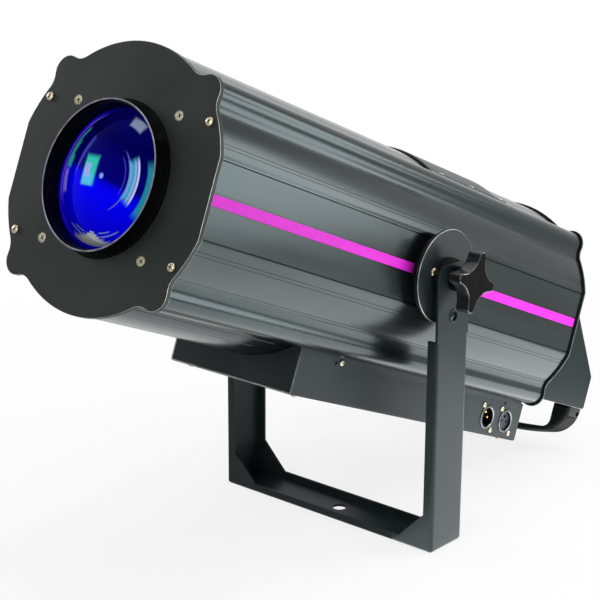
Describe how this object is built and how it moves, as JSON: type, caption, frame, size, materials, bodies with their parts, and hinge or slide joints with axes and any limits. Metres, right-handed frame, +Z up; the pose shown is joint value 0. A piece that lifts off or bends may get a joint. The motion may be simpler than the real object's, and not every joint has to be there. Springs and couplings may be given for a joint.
{
  "type": "followspot",
  "caption": "Stage followspot: a tilting lobed barrel with a coated lens, a folded U-shaped yoke with star knobs, an electronics box with sockets, and a rear grip.",
  "frame": {"origin": "middle of the light's footprint box, on the surface that the yoke's base stands on", "axes": "+Z up, lens towards -Y, grip towards +Y, +X the side with the signal sockets"},
  "size_m": [0.2962, 0.6236, 0.4629],
  "materials": {
    "yoke_paint": "satin grey powder coat",
    "housing_anodised": "satin dark grey extrusion",
    "housing_anodised_hatch": "satin dark grey",
    "box_paint": "satin grey powder coat",
    "plate_paint": "satin dark grey with a bare edge",
    "panel_paint": "satin dark grey with a bare edge",
    "tube_black": "satin black with a bare rim",
    "ring_black": "satin black",
    "coated_glass": "deep blue coated lens",
    "clear_glass": "clear",
    "grip_plastic": "satin black and dark grey",
    "inlay_rubber": "matte black",
    "socket_metal": "black shell with a bright rim",
    "inlet_plastic": "matte black",
    "switch_plastic": "satin black",
    "supply_case": "zinc-coloured case",
    "bare_aluminium": "bare",
    "holder_black": "black",
    "wheel_aluminium": "bare",
    "iris_black": "black",
    "motor_case": "black and bright",
    "carriage_black": "black",
    "fan_plastic": "matte black",
    "display_window": "dark glossy window",
    "stripe_magenta": "magenta film strip",
    "spacer_black": "matte black",
    "disc_grey": "satin grey with a bare edge",
    "washer_black": "matte black",
    "bright_steel": "bright",
    "screw_steel": "passivated",
    "knob_black": "satin black",
    "button_plastic": "satin black"
  },
  "bodies": {
    "yoke": {"yoke": "yoke_paint"},
    "barrel": {"housing": "housing_anodised", "front_plate": "plate_paint", "lens_tube": "tube_black", "front_lens": "coated_glass", "lens_ring": "ring_black", "top_hatch": "housing_anodised_hatch", "rear_panel": "panel_paint", "rear_grip": "grip_plastic", "grip_inlay": "inlay_rubber", "electronics_box": "box_paint", "xlr_in": "socket_metal", "xlr_out": "socket_metal", "power_inlet": "inlet_plastic", "power_supply": "supply_case", "stripe_right": "stripe_magenta", "stripe_left": "stripe_magenta", "pivot_spacer_right": "spacer_black", "pivot_spacer_left": "spacer_black", "pivot_disc_right": "disc_grey", "pivot_disc_left": "disc_grey", "washer_right": "washer_black", "washer_left": "washer_black", "pivot_stud_right": "bright_steel", "pivot_stud_left": "bright_steel", "guide_rod_right": "bright_steel", "guide_rod_left": "bright_steel", "bulkhead": "bare_aluminium", "wheel_motor": "motor_case", "heat_sink": "bare_aluminium", "led_module": "holder_black", "condenser_lens": "clear_glass", "fan_frame": "fan_plastic", "display": "display_window", "plate_screw_1": "screw_steel", "plate_screw_2": "screw_steel", "plate_screw_3": "screw_steel", "plate_screw_4": "screw_steel", "lens_screw_1": "screw_steel", "lens_screw_2": "screw_steel", "lens_screw_3": "screw_steel", "lens_screw_4": "screw_steel", "disc_screw_right_1": "screw_steel", "disc_screw_right_2": "screw_steel", "disc_screw_left_1": "screw_steel", "disc_screw_left_2": "screw_steel"},
    "knob_right": {"tilt_knob_right": "knob_black"},
    "knob_left": {"tilt_knob_left": "knob_black"},
    "focus_carriage": {"focus_carriage": "carriage_black", "focus_lens": "clear_glass"},
    "iris": {"iris_ring": "iris_black"},
    "wheel": {"colour_wheel": "wheel_aluminium"},
    "rotor": {"fan_rotor": "fan_plastic"},
    "rocker": {"power_switch": "switch_plastic"},
    "button_1": {"menu_button_1": "button_plastic"},
    "button_2": {"menu_button_2": "button_plastic"},
    "button_3": {"menu_button_3": "button_plastic"},
    "button_4": {"menu_button_4": "button_plastic"}
  },
  "joints": [
    {"name": "tilt", "type": "hinge", "parent": "yoke", "child": "barrel", "pos_m": [0, 0.00963, 0.25], "axis": [-1, 0, 0], "range_deg": [-75, 28]},
    {"name": "knob_right_turn", "type": "hinge", "parent": "barrel", "child": "knob_right", "pos_m": [0.135, 0.00963, 0.25], "axis": [1, 0, 0], "range_deg": [0, 360]},
    {"name": "knob_left_turn", "type": "hinge", "parent": "barrel", "child": "knob_left", "pos_m": [-0.135, 0.00963, 0.25], "axis": [-1, 0, 0], "range_deg": [0, 360]},
    {"name": "focus_slide", "type": "slide", "parent": "barrel", "child": "focus_carriage", "axis": [0, 0.9256, -0.3785], "range_m": [-0.06, 0.1]},
    {"name": "iris_turn", "type": "hinge", "parent": "barrel", "child": "iris", "pos_m": [0, 0.03165, 0.23938], "axis": [0, 0.9256, -0.3785], "range_deg": [-35, 35]},
    {"name": "wheel_spin", "type": "hinge", "parent": "barrel", "child": "wheel", "pos_m": [0, 0.03334, 0.19331], "axis": [0, 0.9256, -0.3785], "continuous": true},
    {"name": "fan_spin", "type": "hinge", "parent": "barrel", "child": "rotor", "pos_m": [0, 0.24764, 0.19427], "axis": [0, 0.9256, -0.3785], "continuous": true},
    {"name": "power_rock", "type": "hinge", "parent": "barrel", "child": "rocker", "pos_m": [-0.07, 0.12256, 0.0839], "axis": [0, 0.3785, 0.9256], "range_deg": [-16, 0]},
    {"name": "menu_button_1_press", "type": "slide", "parent": "barrel", "child": "button_1", "axis": [0, -0.9256, 0.3785], "range_m": [0, 0.0012], "stiffness_N_per_m": 300, "springref_m": -0.0005},
    {"name": "menu_button_2_press", "type": "slide", "parent": "barrel", "child": "button_2", "axis": [0, -0.9256, 0.3785], "range_m": [0, 0.0012], "stiffness_N_per_m": 300, "springref_m": -0.0005},
    {"name": "menu_button_3_press", "type": "slide", "parent": "barrel", "child": "button_3", "axis": [0, -0.9256, 0.3785], "range_m": [0, 0.0012], "stiffness_N_per_m": 300, "springref_m": -0.0005},
    {"name": "menu_button_4_press", "type": "slide", "parent": "barrel", "child": "button_4", "axis": [0, -0.9256, 0.3785], "range_m": [0, 0.0012], "stiffness_N_per_m": 300, "springref_m": -0.0005}
  ]
}
